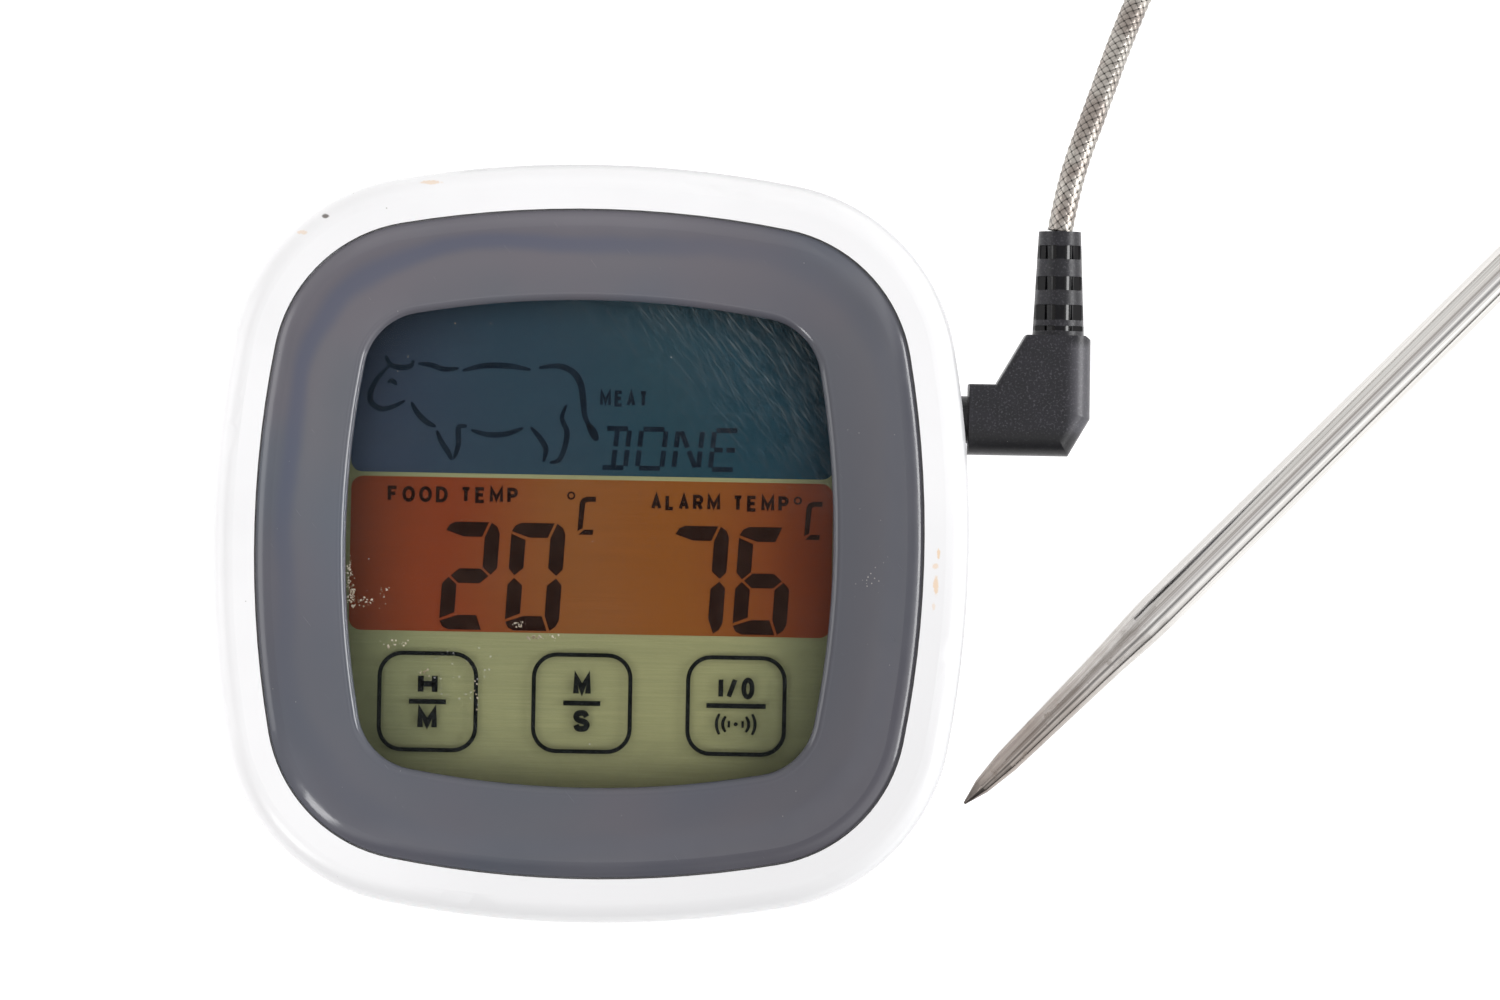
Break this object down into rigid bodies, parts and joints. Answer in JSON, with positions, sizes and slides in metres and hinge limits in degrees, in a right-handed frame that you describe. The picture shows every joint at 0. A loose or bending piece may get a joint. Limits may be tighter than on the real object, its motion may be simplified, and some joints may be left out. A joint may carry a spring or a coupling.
{
  "type": "meat thermometer",
  "caption": "Touch-screen meat thermometer: rounded square white unit with a bezelled window, fold-out stand and battery door, and a needle probe on a braided lead.",
  "frame": {"origin": "centre of the unit's flat back face, on which it lies", "axes": "+X to the unit's right seen from the front, where the plug is; +Y to the top of the display; +Z out of the display"},
  "size_m": [0.1807, 0.1446, 0.0215],
  "materials": {
    "white_plastic": "glossy white moulding",
    "bezel_grey": "glossy mid-grey moulding",
    "window": "clear polished window",
    "sensor_film": "clear conductive film",
    "display": "printed colour zones under a polariser",
    "display_film": "translucent printed film",
    "light_guide": "milky light guide",
    "frame_plastic": "satin",
    "zebra_rubber": "soft striped rubber",
    "board": "solder-mask green",
    "black_plastic": "satin black",
    "dark_plastic": "satin dark grey",
    "screw_steel": "zinc-plated",
    "battery_skin": "printed foil wrap",
    "contact_metal": "nickel-plated",
    "magnet_nickel": "nickel-plated",
    "switch_metal": "stamped tinplate",
    "plug_black": "finely grained moulded black",
    "cable_braid": "woven stainless braid",
    "probe_steel": "drawn and polished stainless steel",
    "thermistor_bead": "epoxy bead"
  },
  "bodies": {
    "unit": {"back_housing": "white_plastic", "front_housing": "white_plastic", "bezel": "bezel_grey", "touch_lens": "window", "touch_sensor": "sensor_film", "lcd_glass": "display", "colour_film": "display_film", "light_guide": "light_guide", "lcd_frame": "frame_plastic", "zebra_strip": "zebra_rubber", "main_board": "board", "controller_chip": "black_plastic", "buzzer": "black_plastic", "jack_socket": "black_plastic", "housing_screws": "screw_steel", "board_screws": "screw_steel", "battery_upper": "battery_skin", "battery_lower": "battery_skin", "battery_plates": "contact_metal", "battery_springs": "contact_metal", "hinge_pin": "screw_steel", "magnets": "magnet_nickel", "slide_switch": "switch_metal", "tact_switch": "switch_metal"},
    "stand_flap": {"stand": "white_plastic"},
    "door": {"battery_door": "white_plastic"},
    "power_switch": {"power_slider": "dark_plastic"},
    "unit_key": {"unit_button": "dark_plastic"},
    "probe_lead": {"plug_body": "plug_black", "plug_sleeve": "contact_metal", "plug_insulator": "black_plastic", "plug_tip": "contact_metal", "strain_relief": "plug_black", "cable_plug_side": "cable_braid", "cable_coil": "cable_braid", "cable_probe_side": "cable_braid", "probe_tube": "probe_steel", "probe_seal": "plug_black", "thermistor": "thermistor_bead"}
  },
  "joints": [
    {"name": "stand_hinge", "type": "hinge", "parent": "unit", "child": "stand_flap", "pos_m": [0, 0.025, 0.0017], "axis": [1, 0, 0], "range_deg": [0, 80]},
    {"name": "battery_door_hinge", "type": "hinge", "parent": "unit", "child": "door", "pos_m": [0, -0.0052, 0.00085], "axis": [1, 0, 0], "range_deg": [0, 80]},
    {"name": "power_switch_slide", "type": "slide", "parent": "unit", "child": "power_switch", "axis": [1, 0, 0], "range_m": [0, 0.0025]},
    {"name": "unit_button_press", "type": "slide", "parent": "unit", "child": "unit_key", "axis": [0, 0, 1], "range_m": [0, 0.0005], "stiffness_N_per_m": 300, "springref_m": -0.001},
    {"name": "probe_lead_unplug", "type": "slide", "parent": "unit", "child": "probe_lead", "axis": [1, 0, 0], "range_m": [0, 0.013]}
  ]
}
